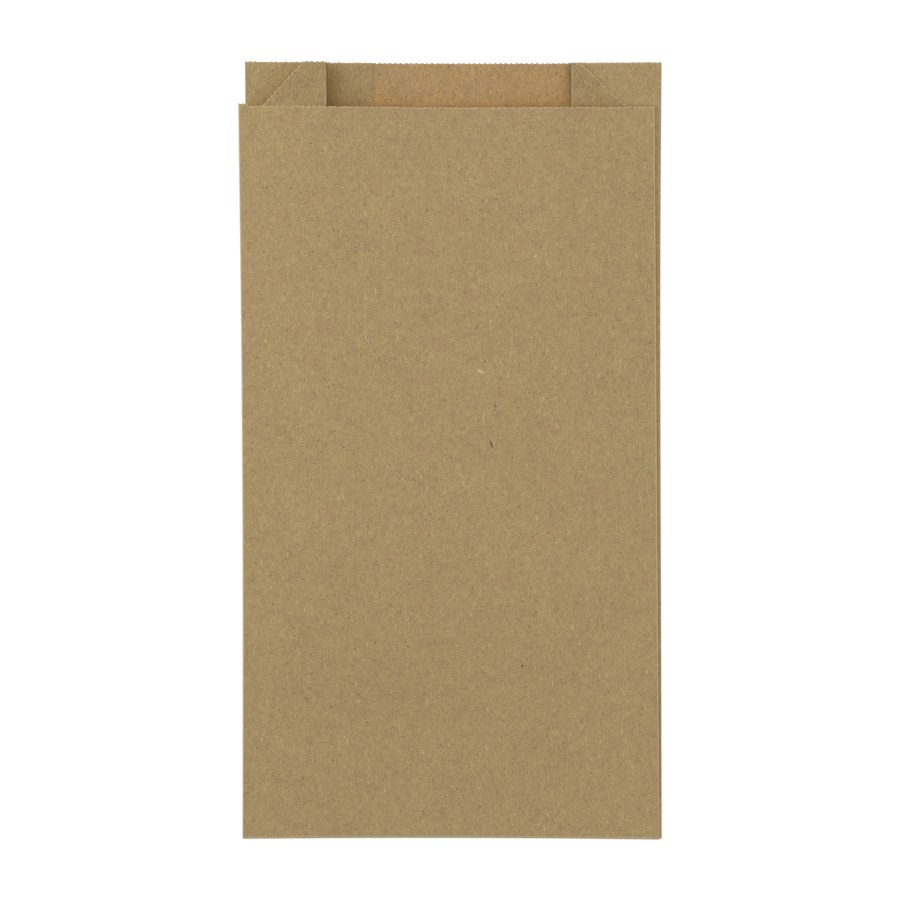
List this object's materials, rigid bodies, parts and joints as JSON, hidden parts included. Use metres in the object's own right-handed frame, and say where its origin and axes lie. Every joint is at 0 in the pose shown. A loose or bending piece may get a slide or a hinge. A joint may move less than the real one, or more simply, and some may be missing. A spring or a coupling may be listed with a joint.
{
  "type": "paper bag",
  "caption": "Flat brown kraft paper bag with side gussets, a stepped saw-tooth mouth with a lip, a back seam and a foot folded over and glued, lying on its back.",
  "frame": {"origin": "centre of the bounding box in plan, on the surface that the bag lies on", "axes": "+Y from the closed foot towards the mouth, +Z out of the front panel, +X across the bag"},
  "size_m": [0.152, 0.2796, 0.0072],
  "materials": {
    "brown_kraft_paper": "machine-glazed, unbleached and uncoated"
  },
  "bodies": {
    "root": {"paper_bag": "brown_kraft_paper"}
  },
  "joints": []
}
